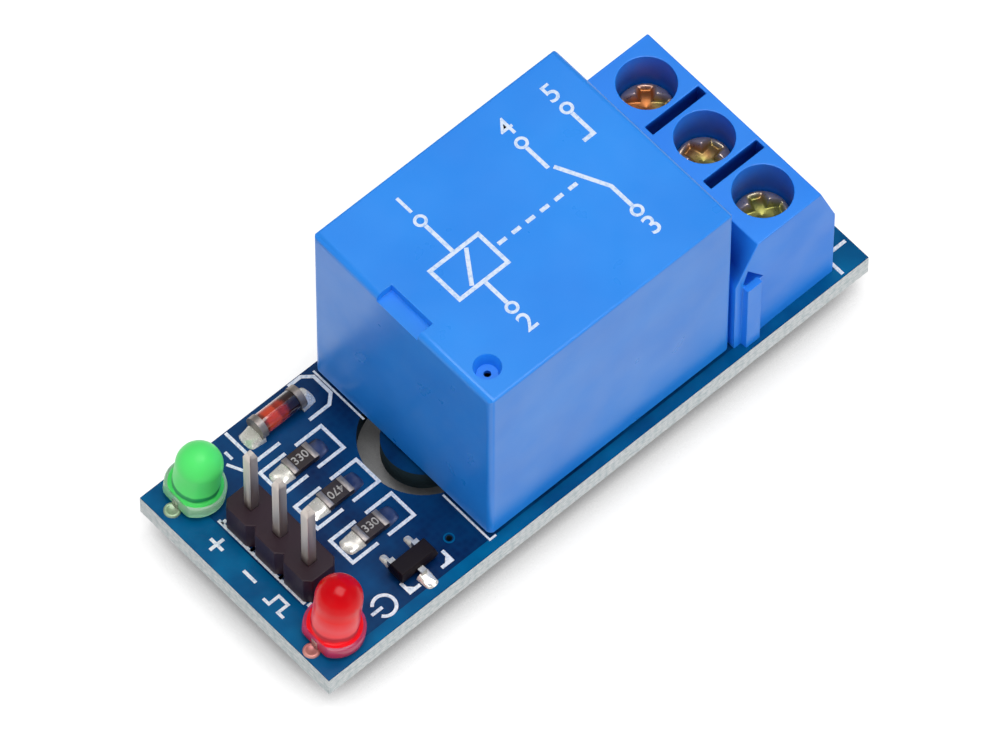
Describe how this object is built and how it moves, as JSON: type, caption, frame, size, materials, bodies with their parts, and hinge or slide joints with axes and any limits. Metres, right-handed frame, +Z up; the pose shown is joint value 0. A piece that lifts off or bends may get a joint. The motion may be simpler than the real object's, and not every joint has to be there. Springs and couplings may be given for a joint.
{
  "type": "relay module board",
  "caption": "Blue circuit board with a sealed changeover relay, screw terminals for the switched wires, a pin header, two lamps and small driver parts.",
  "frame": {"origin": "centre of the board's plan, at the tips of the longest pins", "axes": "+X from the header to the terminal block, +Y across the board, +Z up out of the component side"},
  "size_m": [0.0434, 0.0168, 0.0188],
  "materials": {
    "board": "navy solder mask over glass-epoxy board with white printed outlines",
    "solder": "bright reflowed tin solder",
    "header_plastic": "moulded black plastic",
    "pin_plating": "plated square wire",
    "green_lens": "diffused green epoxy lens",
    "red_lens": "diffused red epoxy lens",
    "lamp_lead": "tinned steel lead frame",
    "resistor": "black glazed ceramic",
    "end_cap": "tinned end caps",
    "diode_glass": "amber glass sleeve",
    "diode_chip": "silicon chip",
    "transistor": "moulded black epoxy",
    "tinned_lead": "tinned gull-wing leads",
    "relay_blue": "fine-textured moulded blue plastic",
    "relay_black": "moulded black plastic",
    "resin": "cast epoxy resin",
    "magnet_iron": "zinc-plated soft iron",
    "bobbin": "moulded natural nylon",
    "enamelled_copper": "enamelled copper wire",
    "tinned_pin": "tinned brass",
    "spring_bronze": "rolled phosphor bronze",
    "contact_silver": "silver alloy contact",
    "terminal_blue": "fine-textured moulded blue plastic",
    "clamp_plating": "nickel-plated brass and steel",
    "screw_zinc": "yellow-passivated zinc plating"
  },
  "bodies": {
    "root": {"pcb": "board", "relay_solder": "solder", "terminal_solder": "solder", "header_solder": "solder", "led_solder": "solder", "smd_solder": "solder", "header_housing": "header_plastic", "header_pin_1": "pin_plating", "header_pin_2": "pin_plating", "header_pin_3": "pin_plating", "green_led_lens": "green_lens", "green_led_leads": "lamp_lead", "red_led_lens": "red_lens", "red_led_leads": "lamp_lead", "resistor_1_body": "resistor", "resistor_1_caps": "end_cap", "resistor_2_body": "resistor", "resistor_2_caps": "end_cap", "resistor_3_body": "resistor", "resistor_3_caps": "end_cap", "diode_glass": "diode_glass", "diode_caps": "end_cap", "diode_die": "diode_chip", "transistor_body": "transistor", "transistor_leads": "tinned_lead", "relay_cover": "relay_blue", "relay_base": "relay_black", "relay_seal": "resin", "relay_yoke": "magnet_iron", "relay_core": "magnet_iron", "relay_bobbin": "bobbin", "relay_coil": "enamelled_copper", "coil_pins": "tinned_pin", "com_terminal": "tinned_pin", "no_terminal": "tinned_pin", "no_contact": "contact_silver", "nc_terminal": "tinned_pin", "nc_contact": "contact_silver", "terminal_housing": "terminal_blue", "clamp_frame_1": "clamp_plating", "clamp_frame_2": "clamp_plating", "clamp_frame_3": "clamp_plating"},
    "armature": {"relay_armature": "magnet_iron", "leaf_spring": "spring_bronze", "moving_contact": "contact_silver"},
    "guard_1": {"wire_guard_1": "clamp_plating"},
    "screw_1": {"terminal_screw_1": "screw_zinc"},
    "guard_2": {"wire_guard_2": "clamp_plating"},
    "screw_2": {"terminal_screw_2": "screw_zinc"},
    "guard_3": {"wire_guard_3": "clamp_plating"},
    "screw_3": {"terminal_screw_3": "screw_zinc"}
  },
  "joints": [
    {"name": "armature_rock", "type": "hinge", "parent": "root", "child": "armature", "pos_m": [-0.00624, 0.00024, 0.01435], "axis": [0, 1, 0], "range_deg": [0, 3], "stiffness_Nm_per_rad": 0.04, "springref_deg": -2.86},
    {"name": "guard_1_lift", "type": "slide", "parent": "root", "child": "guard_1", "axis": [0, 0, 1], "range_m": [0, 0.002]},
    {"name": "screw_1_turn", "type": "hinge", "parent": "guard_1", "child": "screw_1", "pos_m": [0.0158, -0.00512, 0.0109], "axis": [0, 0, 1], "range_deg": [0, 1440]},
    {"name": "guard_2_lift", "type": "slide", "parent": "root", "child": "guard_2", "axis": [0, 0, 1], "range_m": [0, 0.002]},
    {"name": "screw_2_turn", "type": "hinge", "parent": "guard_2", "child": "screw_2", "pos_m": [0.0158, -0.00004, 0.0109], "axis": [0, 0, 1], "range_deg": [0, 1440]},
    {"name": "guard_3_lift", "type": "slide", "parent": "root", "child": "guard_3", "axis": [0, 0, 1], "range_m": [0, 0.002]},
    {"name": "screw_3_turn", "type": "hinge", "parent": "guard_3", "child": "screw_3", "pos_m": [0.0158, 0.00504, 0.0109], "axis": [0, 0, 1], "range_deg": [0, 1440]}
  ],
  "couplings": [
    {"joint": "screw_1_turn", "follows": "guard_1_lift", "rad_per_m": 12566},
    {"joint": "screw_2_turn", "follows": "guard_2_lift", "rad_per_m": 12566},
    {"joint": "screw_3_turn", "follows": "guard_3_lift", "rad_per_m": 12566}
  ]
}
